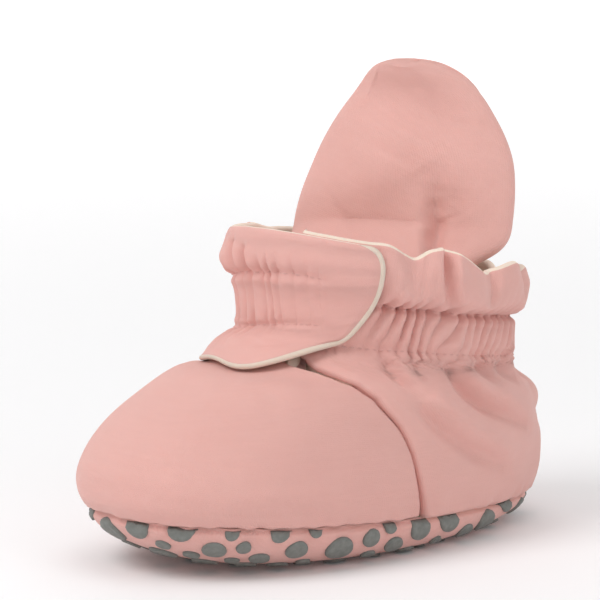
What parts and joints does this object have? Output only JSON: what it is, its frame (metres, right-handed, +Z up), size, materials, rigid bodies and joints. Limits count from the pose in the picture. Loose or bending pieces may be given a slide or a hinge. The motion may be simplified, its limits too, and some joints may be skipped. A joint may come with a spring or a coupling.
{
  "type": "baby bootie slipper",
  "caption": "Soft baby bootie with a hull-shaped fabric sole, padded toe dome, gathered ankle band with a ruffled collar, wrapped closure flap and tall tongue.",
  "frame": {"origin": "middle of the sole's flat, on the surface that the bootie stands on", "axes": "-Y towards the toe, +X towards the wearer's left, +Z up"},
  "size_m": [0.0642, 0.119, 0.105],
  "materials": {
    "rose_cloth": "matte",
    "cream_cloth": "matte",
    "grey_grip": "matte"
  },
  "bodies": {
    "root": {"sole": "rose_cloth", "insole": "cream_cloth", "upper": "rose_cloth", "tongue": "rose_cloth", "closure_flap": "rose_cloth"}
  },
  "joints": []
}
